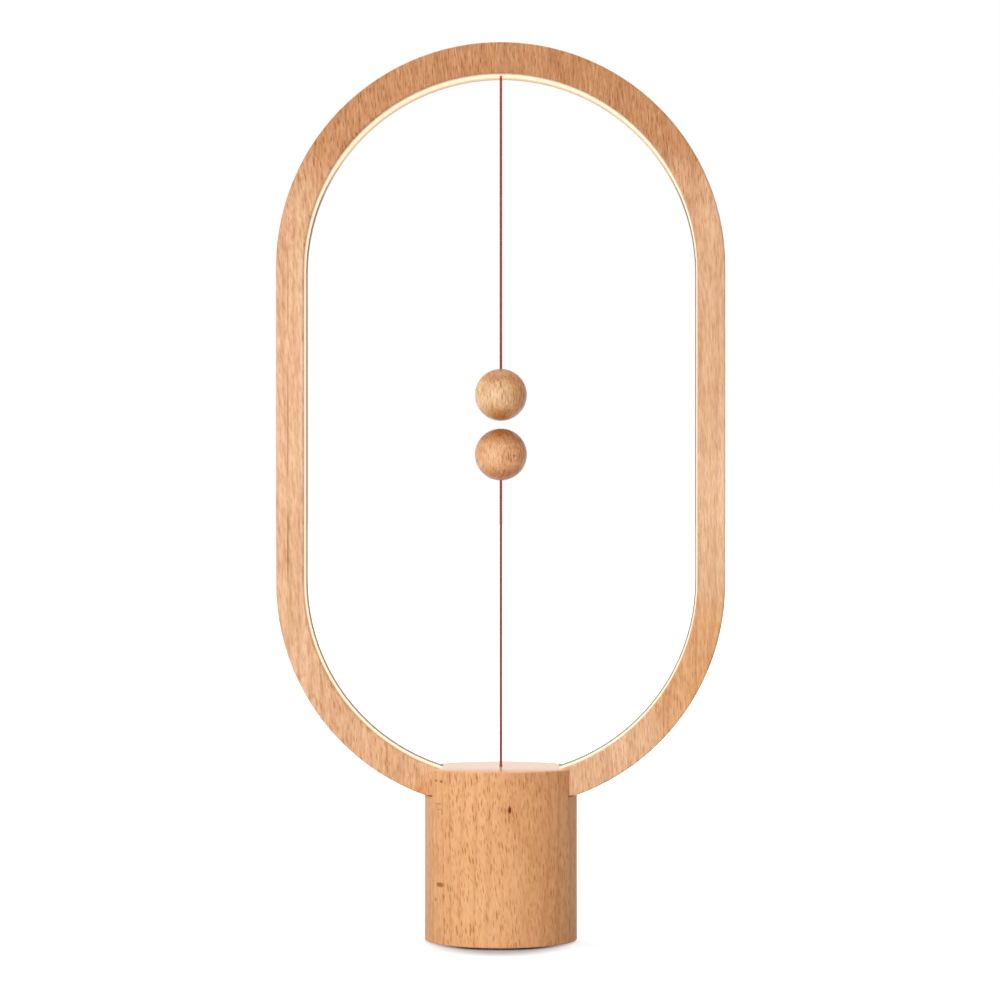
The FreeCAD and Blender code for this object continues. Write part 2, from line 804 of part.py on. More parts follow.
save("ring_frame", ring_frame())
save("ring_diffuser", ring_diffuser())
save("led_strip", led_strip())
save("led_chips", led_chips())
save("cord_ferrule", cord_ferrule())
save("upper_cord_tail", upper_cord_tail())
save("upper_cord_bend", upper_cord_bend())
save("upper_cord", upper_cord())
save("upper_ball_shell", upper(ball_shell()))
save("upper_ball_magnet", upper(ball_magnet()))
save("upper_ball_plug", upper(ball_plug()))
save("upper_cord_knot", upper(ball_knot()))
save("lower_ball_shell", lower(ball_shell()))
save("lower_ball_magnet", lower(ball_magnet()))
save("lower_ball_plug", lower(ball_plug()))
save("lower_cord_knot", lower(ball_knot()))
save("lower_cord", lower_cord())
save("lower_cord_tail", lower_cord_tail())
save("base_body", base_body())
save("base_saddle", base_saddle())
save("cord_bush", cord_bush())
save("ring_screws", screws_at(pan_screw(ring_screw), ring_screw_places(), cavity_top_z))
save("shuttle_guide", shuttle_guide())
save("guide_screws", screws_at(pan_screw(guide_screw), guide_screw_places, flange_low_z))
save("cord_shuttle", cord_shuttle())
save("return_spring", return_spring())
save("switch_body", switch_body())
save("switch_plunger", switch_plunger())
save("switch_terminals", switch_terminals())
save("switch_screws", switch_screws())
save("bottom_plate", bottom_plate())
save("foot_pad", foot_pad())
save("ballast", ballast())
save("ballast_screws", screws_at(flat_screw(ballast_screw), ballast_screw_places, plate_low_z))
save("bottom_screws", screws_at(flat_screw(plate_screw), [polar(ear_ring_radius, a) for a in ear_angles],
                                plate_low_z))
save("main_board", main_board())
save("board_spacers", board_spacers())
save("board_screws", board_screws())
save("usb_shell", usb_shell_part())
save("usb_tongue", usb_tongue())
save("usb_bezel", usb_bezel())
save("led_plug_housing", plug_housing(led_plug_place))
save("switch_plug_housing", plug_housing(switch_plug_place))
save("driver_chip", driver_chip())
save("board_coil", board_coil())
save("board_capacitor", board_capacitor())
save("led_wires", led_wires())
save("switch_wires", switch_wires())
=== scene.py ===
import math

import bpy
from mathutils import Euler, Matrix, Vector


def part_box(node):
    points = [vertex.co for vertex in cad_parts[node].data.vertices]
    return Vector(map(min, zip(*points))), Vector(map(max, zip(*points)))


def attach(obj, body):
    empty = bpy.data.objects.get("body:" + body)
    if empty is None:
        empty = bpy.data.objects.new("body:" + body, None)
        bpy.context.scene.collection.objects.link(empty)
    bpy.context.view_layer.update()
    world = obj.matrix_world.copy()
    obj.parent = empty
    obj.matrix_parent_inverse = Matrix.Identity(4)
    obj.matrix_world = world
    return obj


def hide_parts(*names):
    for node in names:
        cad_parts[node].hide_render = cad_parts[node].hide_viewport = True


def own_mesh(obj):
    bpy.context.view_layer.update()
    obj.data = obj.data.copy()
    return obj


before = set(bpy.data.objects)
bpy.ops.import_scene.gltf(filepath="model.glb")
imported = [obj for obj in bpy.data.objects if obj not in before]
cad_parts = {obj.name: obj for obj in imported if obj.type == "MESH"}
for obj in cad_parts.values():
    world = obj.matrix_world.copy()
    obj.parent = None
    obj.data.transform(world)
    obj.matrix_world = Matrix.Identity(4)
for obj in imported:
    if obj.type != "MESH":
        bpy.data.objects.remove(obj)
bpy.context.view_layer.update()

# The looks of a magnetic balance lamp: a lit beech ring in a round beech base, one ball hanging on a
# red cord and one held under it. Everything is in metres, in the frame's own axes.

MM = 0.001
scene = bpy.context.scene
scene.view_settings.view_transform = "Standard"

# Levels read from the frame
base_top_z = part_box("base_body")[1].z
ring_low, ring_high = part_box("ring_frame")
strip_low, strip_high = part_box("ring_diffuser")
upper_low, upper_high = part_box("upper_ball_shell")
lower_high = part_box("lower_ball_shell")[1]
upper_cord_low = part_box("upper_cord")[0]
lower_cord_low, lower_cord_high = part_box("lower_cord")
bend_low, bend_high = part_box("upper_cord_bend")
pivot_z = (bend_low.z + bend_high.z) / 2
ball_radius = (upper_high.x - upper_low.x) / 2
upper_ball_z = upper_low.z + ball_radius
lower_ball_z = lower_high.z - ball_radius


# Camera, at the photograph's angle
picture_pixels = 1000
focal_pixels = 3693.0
sensor_width = 36.0
camera_distance = 1.65
camera_aside = 0.022
camera_height = 0.2016
lamp_axis_pixel = 500.9
camera_drop = math.radians(0.155)


def add_camera():
    camera = bpy.data.cameras.new("camera")
    camera.sensor_width = sensor_width
    camera.lens = focal_pixels * sensor_width / picture_pixels
    holder = bpy.data.objects.new("camera", camera)
    scene.collection.objects.link(holder)
    holder.location = (camera_aside, -camera_distance, camera_height)
    turn = math.atan(camera_aside / camera_distance)
    turn += (lamp_axis_pixel - picture_pixels / 2) / focal_pixels
    holder.rotation_euler = Euler((math.pi / 2 - camera_drop, 0.0, turn), "XYZ")
    scene.camera = holder


add_camera()


# Cords: six strands twisted about a core, on a route
cord_diameter = 1.2 * MM
strand_radius = cord_diameter / 6
strand_offset = 2 * strand_radius
strand_count = 6
twist_pitch = 7.2 * MM
twist_steps = 24
strand_sides = 2
route_steps = 24


def deselect_all():
    bpy.ops.object.select_all(action="DESELECT")


def add_to_scene(name, data):
    made = bpy.data.objects.new(name, data)
    scene.collection.objects.link(made)
    return made


def route_line(points):
    """The points of a smooth line whose control points are given."""
    curve = bpy.data.curves.new("route", "CURVE")
    curve.dimensions = "3D"
    spline = curve.splines.new("NURBS")
    spline.points.add(len(points) - 1)
    for control, place in zip(spline.points, points):
        control.co = (*place, 1.0)
    spline.order_u = 3
    spline.use_endpoint_u = True
    spline.resolution_u = route_steps
    holder = add_to_scene("route", curve)
    bpy.context.view_layer.update()
    line = bpy.data.meshes.new_from_object(holder)
    places = [vertex.co.copy() for vertex in line.vertices]
    bpy.data.objects.remove(holder)
    return places


def along_line(line, spacing):
    """Places along a line at an even spacing, from its first point to its last."""
    lengths = [0.0]
    for before, after in zip(line, line[1:]):
        lengths.append(lengths[-1] + (after - before).length)
    count = max(2, round(lengths[-1] / spacing))
    places = []
    run = 0
    for number in range(count + 1):
        goal = lengths[-1] * number / count
        while run < len(line) - 2 and lengths[run + 1] < goal:
            run += 1
        share = (goal - lengths[run]) / (lengths[run + 1] - lengths[run])
        places.append(line[run].lerp(line[run + 1], share))
    return places


def twisted_cord(name, points):
    """A mesh of strands that wind about a core on the route, and the points that they follow."""
    centres = along_line(route_line(points), twist_pitch / twist_steps)
    curve = bpy.data.curves.new(name, "CURVE")
    curve.dimensions = "3D"
    curve.bevel_depth = strand_radius
    curve.bevel_resolution = strand_sides
    curve.use_fill_caps = True
    winding = [(strand_offset, strand / strand_count) for strand in range(strand_count)]
    for offset, start in [(0.0, 0.0)] + winding:
        spline = curve.splines.new("POLY")
        spline.points.add(len(centres) - 1)
        for number, centre in enumerate(centres):
            angle = 2 * math.pi * (number / twist_steps + start)
            place = centre + Vector((math.cos(angle), math.sin(angle), 0.0)) * offset
            spline.points[number].co = (*place, 1.0)
    cord = add_to_scene(name, curve)
    deselect_all()
    cord.select_set(True)
    bpy.context.view_layer.objects.active = cord
    bpy.ops.object.convert(target="MESH")
    cord = bpy.context.view_layer.objects.active
    cord.name = name
    for face in cord.data.polygons:
        face.use_smooth = True
    return cord, centres


def upright_route(low_z, high_z, from_top):
    """Control points of a straight cord, in order from where it leaves the object."""
    shares = (0.0, 0.25, 0.5, 0.75, 1.0)
    heights = [low_z + (high_z - low_z) * share for share in shares]
    if from_top:
        heights.reverse()
    return [(0.0, 0.0, height) for height in heights]


upper_cord, upper_line = twisted_cord(
    "upper_cord_twist", upright_route(upper_cord_low.z, pivot_z, True))
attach(upper_cord, "upper_ball")
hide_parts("upper_cord")

lower_cord, lower_line = twisted_cord(
    "lower_cord_twist", upright_route(lower_cord_low.z, lower_cord_high.z, False))
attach(lower_cord, "shuttle")
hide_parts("lower_cord")
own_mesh(lower_cord)


# Colours are written as they look on a screen, 0 to 255
def linear(level):
    share = level / 255
    return share / 12.92 if share <= 0.04045 else ((share + 0.055) / 1.055) ** 2.4


def tone(red, green, blue):
    return (linear(red), linear(green), linear(blue), 1.0)


# Shader maths
class Socket:
    """One output of a shader node. Operators on it add Math nodes."""

    def __init__(self, shading, output):
        self.shading = shading
        self.output = output

    def __add__(self, other):
        return self.shading.maths("ADD", self, other)

    __radd__ = __add__

    def __sub__(self, other):
        return self.shading.maths("SUBTRACT", self, other)

    def __rsub__(self, other):
        return self.shading.maths("SUBTRACT", other, self)

    def __mul__(self, other):
        return self.shading.maths("MULTIPLY", self, other)

    __rmul__ = __mul__

    def __truediv__(self, other):
        return self.shading.maths("DIVIDE", self, other)

    def fraction(self):
        return self.shading.maths("FRACT", self)

    def larger(self, other):
        return self.shading.maths("MAXIMUM", self, other)


class Shading:
    """The nodes of one material or of the world."""

    def __init__(self, holder):
        holder.use_nodes = True
        self.tree = holder.node_tree
        self.tree.nodes.clear()

    def node(self, kind, settings=None, sockets=None, output=0):
        made = self.tree.nodes.new(kind)
        for name, value in (settings or {}).items():
            setattr(made, name, value)
        for key, value in (sockets or {}).items():
            if isinstance(value, Socket):
                self.tree.links.new(value.output, made.inputs[key])
            else:
                made.inputs[key].default_value = value
        return Socket(self, made.outputs[output]) if made.outputs else None

    def seen_background(self):
        """1 for the rays that see the white background: the camera's, mirrored and passing ones."""
        rays = [self.node("ShaderNodeLightPath", output=name)
                for name in ("Is Camera Ray", "Is Glossy Ray", "Is Transmission Ray")]
        return rays[0].larger(rays[1]).larger(rays[2])

    def place(self, cell=(1.0, 1.0, 1.0), shift=(0.0, 0.0, 0.0)):
        """Object coordinates in cells of so many millimetres each way."""
        here = self.node("ShaderNodeTexCoord", output="Object")
        scale = [1 / (MM * size) for size in cell]
        return self.node("ShaderNodeMapping", {}, {"Vector": here, "Location": shift, "Scale": scale})

    def noise(self, place, detail=2.0, rough=0.5, output="Fac"):
        sockets = {"Vector": place, "Scale": 1.0, "Detail": detail, "Roughness": rough}
        return self.node("ShaderNodeTexNoise", {}, sockets, output)

    def cells(self, place, output="Distance", **settings):
        return self.node("ShaderNodeTexVoronoi", settings, {"Vector": place, "Scale": 1.0}, output)

    def step(self, value, low, high, start=0.0, end=1.0):
        """A smooth change from start to end as value goes from low to high."""
        sockets = {"Value": value, "From Min": low, "From Max": high, "To Min": start, "To Max": end}
        return self.node("ShaderNodeMapRange", {"interpolation_type": "SMOOTHSTEP"}, sockets)

    def mix(self, share, first, second):
        """A colour between two colours."""
        return self.node("ShaderNodeMix", {"data_type": "RGBA"}, {0: share, 6: first, 7: second}, 2)

    def tinted(self, share, colour, tint):
        """A colour deepened by a tint, as a stain does."""
        settings = {"data_type": "RGBA", "blend_type": "MULTIPLY"}
        return self.node("ShaderNodeMix", settings, {0: share, 6: colour, 7: tint}, 2)

    def maths(self, operation, *values):
        return self.node("ShaderNodeMath", {"operation": operation}, dict(enumerate(values)))

    def parts(self, vector):
        made = self.node("ShaderNodeSeparateXYZ", {}, {0: vector})
        return [Socket(self, output) for output in made.output.node.outputs]

    def joined(self, x, y, z):
        return self.node("ShaderNodeCombineXYZ", {}, {0: x, 1: y, 2: z})

    def vector(self, operation, *values, output="Vector"):
        return self.node("ShaderNodeVectorMath", {"operation": operation}, dict(enumerate(values)), output)

    def bump(self, height, depth, strength):
        return self.node("ShaderNodeBump", {}, {"Height": height, "Distance": depth, "Strength": strength})


class Finish(Shading):
    """One procedural material."""

    def __init__(self, name):
        self.material = bpy.data.materials.new(name)
        super().__init__(self.material)

    def surface(self, colour, roughness, **sockets):
        """The material, with its colour, roughness and any other sockets of the main shader."""
        values = {"Base Color": colour, "Roughness": roughness}
        values.update({name.replace("_", " "): value for name, value in sockets.items()})
        shader = self.node("ShaderNodeBsdfPrincipled", {}, values)
        self.node("ShaderNodeOutputMaterial", {}, {"Surface": shader})
        return self.material


# Beech. Cells that follow the grain, in millimetres: across the rays, out from the tree's middle, up
streak_cell = (0.62, 3.0, 6.0)
fine_cell = (0.30, 1.4, 3.0)
tint_cell = (2.6, 7.0, 26.0)
ray_reach = (4.0, 9.0, 9.0)
grain_lean = 0.05

# Ray ends, in millimetres across and up, and their width as a share of a cell
ray_cell = (1.05, 8.5)
small_ray_cell = (0.62, 6.0)
spindle_width = 0.13

# Cells that don't follow the grain, in millimetres, and one in growth rings
sway_cell = (26.0, 26.0, 90.0)
sway_reach = (5.0, 5.0, 0.0)
cloud_cell = (30.0, 30.0, 70.0)
crowd_cell = (11.0, 11.0, 30.0)
pore_cell = (0.16, 0.16, 1.3)
drift_cell = (5, 5, 40)

# Tints and tones of the wood
streak_tint = tone(232, 220, 204)
pale_tint = tone(255, 228, 196)
yellow_tint = tone(250, 256, 241)
ray_tint = tone(206, 174, 144)
orange_tone = tone(228, 160, 98)
mark_tint = tone(176, 134, 104)
pale_mark_tint = tone(262, 264, 266)
# Painted shade on the back lip, and the painted light of the lit strip
lip_shade_tint = tone(152, 160, 158)
lip_shade_grey = tone(148, 144, 132)
painted_light_tone = tone(188, 172, 140)
no_light = tone(0, 0, 0)


def beech(name, pale, deep, pith, shift, ring_width=3.4, ring_line=0.25, streaks=0.5, streak_length=1.0,
          yellows=0.5, rays=0.8, small_rays=0.5, even=0.5, zone=None, patches=None, crowd_zone=None,
          stain=ray_tint, marks=(), lacquer=None, glow=None, lip=None, rough=0.54, shine=0.35):
    """Beech with its grain along Z, growth rings about a pith line and rays that point to it.

    pith is where the tree's middle runs, in mm. even is how strong the weakest rays are. These give
    a share from the place: zone of deeper wood tone, in part painted shade, patches of orange wood
    and of painted shade, crowd_zone of strong rays, lacquer of a glossy coat without rays that also
    paints light on the top, and glow of the strip's painted light in the wood. lip paints shade
    on the back lip behind the lit strip, and stain is the rays' tint. marks are spots on the front
    face, of wood and of painted shadow: x, z, half width, half height and strength, below zero for
    a paler one.
    """
    wood = Finish(name)
    here = wood.place()
    sway = wood.noise(wood.place(sway_cell, shift), detail=1.0, output="Color")
    sway = wood.vector("SUBTRACT", sway, (0.5, 0.5, 0.5))
    sway = wood.vector("MULTIPLY", sway, sway_reach)
    x, y, z = wood.parts(wood.vector("ADD", here, sway))
    aside = x - pith[0]
    behind = y - pith[1]
    radius = wood.vector("LENGTH", wood.joined(aside, behind, 0.0), output="Value")
    around = wood.maths("ARCTAN2", behind, aside) * math.hypot(*pith) + z * grain_lean

    def grain(cell, offset):
        up = z * (1 / (cell[2] * streak_length))
        return wood.joined(around * (1 / cell[0]) + offset, radius * (1 / cell[1]), up)

    def spindles(cell, offset, commonness):
        """Dark spindles where the face cuts across the rays, in cells of that width and height."""
        cut = wood.joined(around * (1 / cell[0]) + offset, z * (1 / cell[1]) + offset, 0.0)
        chance = wood.parts(wood.cells(cut, "Color", voronoi_dimensions="2D"))[0]
        away = wood.cells(cut, voronoi_dimensions="2D") / (spindle_width + chance * spindle_width)
        return wood.step(away, 0.5, 1.15, 1.0, 0.0) * wood.step(chance, 0.9 - commonness, 1.1 - commonness)

    # Growth rings: a soft rise to a thin darker line, each ring with its own tone
    drift = wood.noise(wood.place([size * ring_width for size in drift_cell], shift))
    rings = radius * (1 / ring_width) + drift * 2.0
    saw = rings.fraction()
    late = wood.step(saw, 0.50, 0.92) * wood.step(saw, 0.92, 1.0, 1.0, 0.0)
    ring_tone = wood.noise(wood.joined(rings * 0.55, 0.0, shift[0]))
    clouds = wood.noise(wood.place(cloud_cell, shift), detail=3.0, rough=0.55)
    slow = wood.step(clouds, 0.30, 0.70, 0.0, 0.35) + wood.step(ring_tone, 0.30, 0.70, 0.0, 0.20)
    # zone deepens the tone, in part as painted shade, and patches hold painted shade too
    if zone is not None:
        slow = slow + zone(wood, here)
    colour = wood.mix(slow, pale, deep)
    if patches is not None:
        colour = wood.mix(patches(wood, here), colour, orange_tone)

    # Streaks along the grain, and a yellower tint in places
    strands = wood.noise(grain(streak_cell, shift[0]), detail=2.0, rough=0.55)
    fine = wood.noise(grain(fine_cell, shift[1]), detail=2.0, rough=0.6)
    pores = wood.noise(wood.place(pore_cell, shift), detail=1.0)
    tint = wood.noise(grain(tint_cell, shift[2]), detail=1.0)
    colour = wood.tinted(wood.step(tint, 0.40, 0.62) * yellows, colour, yellow_tint)
    colour = wood.tinted(wood.step(strands, 0.44, 0.66) * streaks, colour, streak_tint)
    colour = wood.mix(wood.step(strands, 0.44, 0.26) * (0.25 * streaks), colour, pale_tint)
    colour = wood.tinted(wood.step(fine, 0.44, 0.70) * streaks, colour, streak_tint)
    colour = wood.tinted(late * ring_line, colour, ray_tint)

    # Rays, cut across
    crowd = wood.step(wood.noise(wood.place(crowd_cell, shift), detail=1.0), 0.30, 0.55, even, 1.0)
    if crowd_zone is not None:
        crowd = crowd * crowd_zone(wood, here)
    broken = wood.step(wood.noise(grain(ray_reach, shift[1])), 0.30, 0.40)
    ends = (spindles(ray_cell, shift[0], 0.65) * rays).larger(
        spindles(small_ray_cell, shift[1], 0.75) * small_rays)
    ends = ends * crowd * broken
    sockets = {"Specular_IOR_Level": shine}
    if lacquer is not None:
        coat = lacquer(wood, here)
        # Painted light: under the coat the rays are left out and the colour is made paler
        ends = ends * (1 - coat)
        colour = wood.mix(coat * 0.5, colour, pale)
        sockets.update(Coat_Weight=coat * 0.8, Coat_Roughness=0.16)
    colour = wood.tinted(ends, colour, stain)

    # Marks on the front face: spots of the wood, and painted shadow where given
    front = wood.step(wood.parts(here)[1], -6.0, 0.0, 1.0, 0.0)
    for mark_x, mark_z, half_width, half_height, strength in marks:
        spot = wood.vector("SUBTRACT", here, (mark_x, 0.0, mark_z))
        spot = wood.vector("MULTIPLY", spot, (1 / half_width, 0.0, 1 / half_height))
        away = wood.vector("LENGTH", spot, output="Value") + (fine - 0.5) * 0.5
        spot = wood.step(away, 0.45, 1.1, abs(strength), 0.0) * front
        colour = wood.tinted(spot, colour, mark_tint if strength > 0 else pale_mark_tint)

    # Painted shade on the back lip
    if lip is not None:
        colour = lip(wood, here, colour)
    # Painted light: the wood glows where the strip's light falls on it
    if glow is not None:
        sockets.update(Emission_Color=wood.mix(glow(wood, here), no_light, painted_light_tone), Emission_Strength=1.0)
    height = strands * 0.3 + pores * 0.5 - ends * 0.8
    sockets.update(Normal=wood.bump(height, 0.05 * MM, 0.6))
    return wood.surface(colour, rough + ends * 0.15 + strands * 0.10, **sockets)


# Where the wood changes, and where light and shade are painted. Places and heights are in millimetres
def spots(wood, here, places):
    """A share about some places: x, z, reach and strength."""
    mask = 0.0
    for spot_x, spot_z, reach, strength in places:
        away = wood.vector("SUBTRACT", here, (spot_x, 0.0, spot_z))
        away = wood.vector("MULTIPLY", away, (1 / reach, 0.0, 1 / reach))
        length = wood.vector("LENGTH", away, output="Value")
        mask = mask + wood.step(length, 0.5, 1.25, strength, 0.0)
    return mask


def ring_top_tone_and_shade(wood, here):
    """Deeper, more orange wood tone over the top of the ring, partly painted shade."""
    height = wood.parts(here)[2]
    return wood.step(height, 318.0, 374.0, 0.0, 0.78) + wood.step(height, 230.0, 330.0, 0.0, 0.08)


def ring_patches_and_shade(wood, here):
    """Orange wood in places near the ring's foot, and painted shade on the ring's face beside the base's
    wall, at x -32.
    """
    # The spot at x -32 is painted shade from the base's wall
    places = ((-48.0, 78.0, 24.0, 0.25), (-32.0, 66.0, 8.0, 0.60), (90.0, 122.0, 34.0, 0.70))
    return spots(wood, here, places)


def ring_crowd(wood, here):
    """Stronger rays over the top and foot of the ring than along its sides."""
    height = wood.parts(here)[2]
    return wood.step(height, 280.0, 360.0, 0.22, 1.0).larger(wood.step(height, 150.0, 100.0, 0.22, 0.8))


# The ring's inner face, beside the lit strip, with painted light and shade on its lips
glow_radius = (strip_high.x - strip_low.x) / 2 / MM
ring_sides = [corner.co.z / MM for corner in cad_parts["ring_frame"].data.vertices
              if corner.co.x > ring_high.x - 0.01 * MM]
ring_middle_low, ring_middle_high = min(ring_sides), max(ring_sides)


def inner_face(wood, x, z):
    """1 on the ring's inner face, 0 elsewhere on it."""
    level = wood.maths("MINIMUM", wood.maths("MAXIMUM", z, ring_middle_low), ring_middle_high)
    out = wood.vector("LENGTH", wood.joined(x, 0.0, z - level), output="Value")
    return wood.step(out, glow_radius - 1.0, glow_radius - 1.8)


def painted_strip_light(wood, here):
    """Painted light: the wood of the front lip glows with the strip's light, and over the top the back lip
    does too.
    """
    x, y, z = wood.parts(here)
    front_lip = wood.step(y, -14.5, strip_low.y / MM) * wood.step(y, 0.0, 1.0, 1.0, 0.0)
    high = wood.step(z, 325.0, 360.0) * wood.step(y, 17.0, strip_high.y / MM)
    return inner_face(wood, x, z) * (front_lip + high * wood.step(y, 0.0, 1.0))


def painted_back_lip_shade(wood, here, colour):
    """Painted shade on the back lip, greyer towards the foot."""
    x, y, z = wood.parts(here)
    behind = inner_face(wood, x, z) * wood.step(y, 0.0, 1.0)
    colour = wood.tinted(behind * wood.step(z, 325.0, 360.0, 1.0, 0.2), colour, lip_shade_tint)
    return wood.mix(behind * wood.step(z, 160.0, 110.0, 0.0, 0.85), colour, lip_shade_grey)


def ball_tone_and_shade(middle_z, right=0.55):
    """Darker towards the top and bottom of a ball, and painted shade on its right."""
    def zone(wood, here):
        x, y, z = wood.parts(here)
        level = (z - middle_z / MM) * (MM / ball_radius)
        ends = wood.step(level, 0.25, 0.90, 0.0, 0.85) + wood.step(level, -0.25, -0.90, 0.0, 0.85)
        return ends + wood.step(x * (MM / ball_radius), 0.05, 0.95, 0.0, right)
    return zone


def ball_crowd(wood, here):
    """The strongest rays right of the middle."""
    return wood.step(wood.parts(here)[0] * (MM / ball_radius), -0.5, 0.6, 0.55, 1.25)


def base_right_shade(wood, here):
    """Painted shade: a slightly deeper tone towards the right."""
    return wood.step(wood.parts(here)[0], -6.0, 30.0, 0.0, 0.45)


def base_lacquer_and_light(wood, here):
    """The base's top, with less of a coat towards the front; the coat also paints light on the top, making it
    paler.
    """
    x, y, z = wood.parts(here)
    top = base_top_z / MM - 0.2
    return wood.step(z, top - 0.5, top) * wood.step(y, -32.0, -6.0, 0.45, 1.0)


def base_crowd(wood, here):
    """The strongest rays left of the middle, few at the left edge."""
    x = wood.parts(here)[0]
    return wood.step(x, -5.0, 20.0, 1.0, 0.70) * wood.step(x, -29.0, -22.0, 0.35, 1.0)


def ring_beech():
    dark_line = ((-94.2, 175.0, 0.34, 20.0, 0.90), (-94.2, 232.0, 0.32, 30.0, 0.75),
                 (-94.2, 290.0, 0.32, 24.0, 0.60))
    pale_line = ((-94.9, 215.0, 0.34, 90.0, -0.90),)
    return beech("ring beech", tone(251, 203, 165), tone(206, 143, 92), (38.0, 130.0), (3.7, 1.9, 5.3),
                 streaks=0.8, streak_length=1.3, rays=0.8, small_rays=0.65, even=0.85, zone=ring_top_tone_and_shade,
                 patches=ring_patches_and_shade, crowd_zone=ring_crowd, marks=dark_line + pale_line,
                 glow=painted_strip_light, lip=painted_back_lip_shade, shine=0.5)


def base_beech():
    knot = ((4.3, 61.6, 0.85, 2.3, 1.0), (4.3, 61.4, 0.7, 1.6, 1.0), (4.2, 65.2, 0.3, 3.0, 0.35),
            (4.2, 57.2, 0.3, 3.0, 0.35))
    low_spot = ((-26.6, 27.4, 2.0, 1.3, 0.90),)
    specks = ((-28.4, 73.2, 0.9, 0.6, 0.70), (-26.0, 73.0, 0.9, 0.9, 0.80), (-27.2, 63.0, 1.7, 0.35, 0.50),
              (-27.0, 60.6, 1.3, 0.3, 0.45), (-24.6, 12.0, 0.4, 1.3, 0.70), (-28.6, 20.6, 0.4, 0.9, 0.70),
              (-24.8, 22.4, 0.4, 1.0, 0.70))
    # Painted shadow: dark lines on the base under the ring's foot
    shade_z = ring_low.z / MM - 0.35
    painted_foot_shadow = ((-31.9, shade_z, 2.2, 0.45, 1.0), (31.9, shade_z, 2.2, 0.45, 1.0)) * 2
    return beech("base beech", tone(246, 188, 138), tone(222, 153, 101), (-24.0, 90.0), (8.1, 4.2, 2.6),
                 streaks=0.45, rays=0.9, small_rays=0.75, zone=base_right_shade, crowd_zone=base_crowd,
                 marks=knot + low_spot + specks + painted_foot_shadow, lacquer=base_lacquer_and_light, shine=0.2)


def upper_ball_beech():
    return beech("upper ball beech", tone(255, 214, 171), tone(200, 139, 80), (-17.0, 36.0),
                 (1.3, 6.4, 9.9), ring_width=1.0, ring_line=0.25, streaks=0.7, streak_length=0.6, rays=0.8,
                 small_rays=0.8, zone=ball_tone_and_shade(upper_ball_z), crowd_zone=ball_crowd, stain=mark_tint,
                 rough=0.36, shine=0.5)


def lower_ball_beech():
    speck = (6.1, lower_ball_z / MM - 0.7, 1.1, 0.4, 0.7)
    return beech("lower ball beech", tone(248, 194, 147), tone(194, 124, 68), (-14.0, 23.0),
                 (5.8, 7.7, 0.4), ring_width=0.7, ring_line=0.35, streaks=0.7, streak_length=0.6, rays=0.6,
                 small_rays=0.65, zone=ball_tone_and_shade(lower_ball_z, 0.42), crowd_zone=ball_crowd, stain=mark_tint,
                 marks=(speck,), rough=0.36, shine=0.4)


# Other finishes
def opal():
    plastic = Finish("opal lit")
    soft = plastic.noise(plastic.place((40.0, 40.0, 40.0)), detail=1.0)
    glow = plastic.mix(soft, tone(255, 206, 158), tone(255, 214, 170))
    grain = plastic.noise(plastic.place((0.4, 0.4, 0.4)), detail=2.0)
    return plastic.surface(tone(240, 228, 206), 0.50 + grain * 0.1, Emission_Color=glow,
                           Emission_Strength=0.56, Normal=plastic.bump(grain, 0.01 * MM, 0.4))


def red_cord():
    yarn = Finish("red cord yarn")
    lay = yarn.noise(yarn.place((0.16, 0.16, 0.5)), detail=3.0, rough=0.7)
    patches = yarn.noise(yarn.place((4.0, 4.0, 9.0)), detail=2.0)
    colour = yarn.mix(lay, tone(128, 46, 44), tone(190, 86, 78))
    colour = yarn.mix(patches * 0.4, colour, tone(146, 56, 54))
    return yarn.surface(colour, 0.78 + lay * 0.15, Sheen_Weight=0.35, Sheen_Roughness=0.4,
                        Normal=yarn.bump(lay, 0.05 * MM, 0.8))


def metal(name, colour, dull, roughness, brush=(6.0, 6.0, 0.2)):
    part = Finish(name)
    lines = part.noise(part.place(brush), detail=4.0, rough=0.65)
    stains = part.noise(part.place((3.0, 3.0, 3.0)), detail=3.0)
    shade = part.mix(part.step(stains, 0.35, 0.75) * 0.5 + lines * 0.2, colour, dull)
    return part.surface(shade, roughness + lines * 0.18, Metallic=1.0,
                        Normal=part.bump(lines, 0.01 * MM, 0.5))


def plastic(name, colour, worn, roughness, grain_size=0.25, grain_depth=0.02):
    part = Finish(name)
    grain = part.noise(part.place((grain_size, grain_size, grain_size)), detail=2.0, rough=0.6)
    clouds = part.noise(part.place((6.0, 6.0, 6.0)), detail=2.0)
    shade = part.mix(clouds * 0.6 + grain * 0.3, colour, worn)
    return part.surface(shade, roughness + grain * 0.14, Normal=part.bump(grain, grain_depth * MM, 0.6))


def board():
    part = Finish("board lacquer")
    lines = part.step(part.cells(part.place((0.9, 0.9, 0.9)), distance="CHEBYCHEV"), 0.34, 0.42)
    grain = part.noise(part.place((0.3, 0.3, 0.3)), detail=2.0)
    shade = part.mix(lines * 0.6 + grain * 0.2, tone(22, 84, 52), tone(44, 118, 74))
    return part.surface(shade, 0.32 + grain * 0.1, Normal=part.bump(lines, 0.03 * MM, 0.5))


def chip_yellow():
    part = Finish("light chip")
    here = part.noise(part.place((1.5, 1.5, 1.5)), detail=1.0)
    glow = part.mix(here, tone(255, 214, 140), tone(255, 236, 190))
    return part.surface(tone(240, 214, 120), 0.4 + here * 0.1, Emission_Color=glow, Emission_Strength=2.0)


